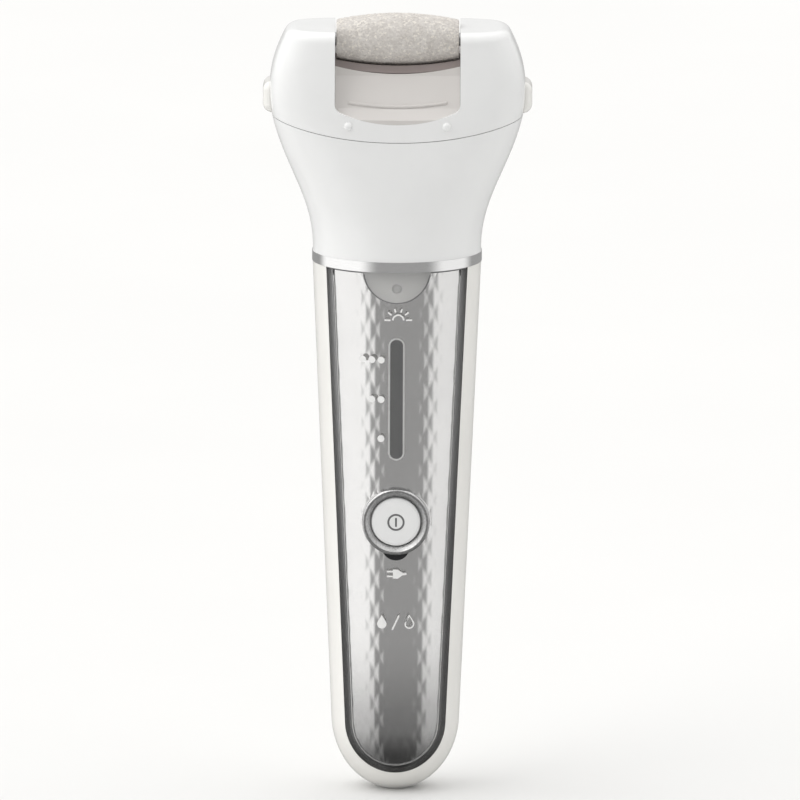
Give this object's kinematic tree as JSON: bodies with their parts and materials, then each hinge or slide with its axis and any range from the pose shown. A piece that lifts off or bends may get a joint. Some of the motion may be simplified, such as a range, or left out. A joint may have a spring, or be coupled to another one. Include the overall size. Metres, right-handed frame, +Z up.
{
  "type": "electric callus remover",
  "caption": "Upright cordless callus remover: tapered handle with clear front window, power button, metal ring and a wide head that holds a motor-driven abrasive roller between two horns.",
  "frame": {"origin": "middle of the small flat under the handle, at the bottom centre of the bounding box", "axes": "+Z up along the handle towards the roller, -Y out of the front with the window and button, +X along the roller axis to the viewer's right"},
  "size_m": [0.0602, 0.0312, 0.1772],
  "materials": {
    "warm_white": "gloss",
    "cool_white": "gloss",
    "clear": "polished",
    "silver": "satin",
    "dark_gasket": "matte",
    "black_gloss": "gloss",
    "lens": "frosted",
    "smoke_grey": "gloss",
    "bright_trim": "polished",
    "contact_metal": "polished",
    "bezel_metal": "satin",
    "seal_rubber": "matte",
    "board": "satin",
    "steel": "satin",
    "grey_plastic": "matte",
    "led": "gloss",
    "cell_wrap": "gloss",
    "ring_metal": "satin",
    "tray_grey": "satin",
    "trough_brown": "satin",
    "acetal": "satin",
    "abrasive": "rough",
    "brass": "machined",
    "motor_steel": "zinc plated"
  },
  "bodies": {
    "root": {"front_shell": "warm_white", "rear_cover": "warm_white", "body_seal": "seal_rubber", "window_cover": "clear", "decor_plate": "silver", "window_gasket": "dark_gasket", "charge_lamp": "black_gloss", "light_lens": "lens", "level_bar": "smoke_grey", "level_trim": "bright_trim", "contact_carrier": "dark_gasket", "charging_contacts": "contact_metal", "button_bezel": "bezel_metal", "button_seal": "seal_rubber", "power_switch": "dark_gasket", "main_board": "board", "board_screws": "steel", "chassis": "grey_plastic", "indicator_leds": "led", "headlamp_led": "led", "control_chip": "dark_gasket", "battery_cell": "cell_wrap", "battery_tabs": "steel", "accent_ring": "ring_metal", "neck_seal": "seal_rubber", "neck_screws": "steel", "neck_cover": "cool_white", "reduction_axle": "steel", "motor_can": "motor_steel", "motor_end_cap": "dark_gasket", "motor_screws": "steel", "gear_frame": "grey_plastic"},
    "head_frame": {"head_frame": "cool_white", "dust_tray": "tray_grey", "roller_trough": "trough_brown", "roller_bush_left": "acetal", "roller_bush_right": "acetal", "idler_pins": "steel"},
    "roller": {"roller_drum": "abrasive", "roller_core": "grey_plastic", "roller_axle": "steel", "axle_clip": "steel", "roller_gear": "acetal"},
    "idler_upper": {"idler_gear_upper": "acetal"},
    "idler_lower": {"idler_gear_lower": "acetal"},
    "reduction": {"reduction_gear": "acetal", "output_gear": "acetal"},
    "motor_rotor": {"motor_shaft": "steel", "motor_pinion": "brass"},
    "power_button": {"power_button": "cool_white"},
    "release_left": {"release_button_left": "warm_white", "release_spring_left": "steel"},
    "release_right": {"release_button_right": "warm_white", "release_spring_right": "steel"}
  },
  "joints": [
    {"name": "frame_lift", "type": "slide", "parent": "root", "child": "head_frame", "axis": [0, 0, 1], "range_m": [0, 0.03]},
    {"name": "roller_spin", "type": "hinge", "parent": "head_frame", "child": "roller", "pos_m": [0, -0.001, 0.1713], "axis": [1, 0, 0], "continuous": true},
    {"name": "idler_upper_spin", "type": "hinge", "parent": "head_frame", "child": "idler_upper", "pos_m": [0, -0.001, 0.165], "axis": [1, 0, 0], "continuous": true},
    {"name": "idler_lower_spin", "type": "hinge", "parent": "head_frame", "child": "idler_lower", "pos_m": [0, -0.001, 0.15595], "axis": [1, 0, 0], "continuous": true},
    {"name": "reduction_spin", "type": "hinge", "parent": "root", "child": "reduction", "pos_m": [0, -0.001, 0.1489], "axis": [1, 0, 0], "continuous": true},
    {"name": "motor_spin", "type": "hinge", "parent": "root", "child": "motor_rotor", "pos_m": [0, -0.001, 0.13885], "axis": [1, 0, 0], "continuous": true},
    {"name": "power_press", "type": "slide", "parent": "root", "child": "power_button", "axis": [0, 1, 0], "range_m": [0, 0.0006], "stiffness_N_per_m": 3000, "springref_m": -0.0003},
    {"name": "release_left_press", "type": "slide", "parent": "head_frame", "child": "release_left", "axis": [1, 0, 0], "range_m": [0, 0.0012], "stiffness_N_per_m": 2000, "springref_m": -0.0006},
    {"name": "release_right_press", "type": "slide", "parent": "head_frame", "child": "release_right", "axis": [-1, 0, 0], "range_m": [0, 0.0012], "stiffness_N_per_m": 2000, "springref_m": -0.0006}
  ],
  "couplings": [
    {"joint": "idler_upper_spin", "follows": "roller_spin", "ratio": -0.38889},
    {"joint": "idler_lower_spin", "follows": "roller_spin", "ratio": 0.38889},
    {"joint": "reduction_spin", "follows": "roller_spin", "ratio": -0.7},
    {"joint": "motor_spin", "follows": "roller_spin", "ratio": 2.8}
  ]
}
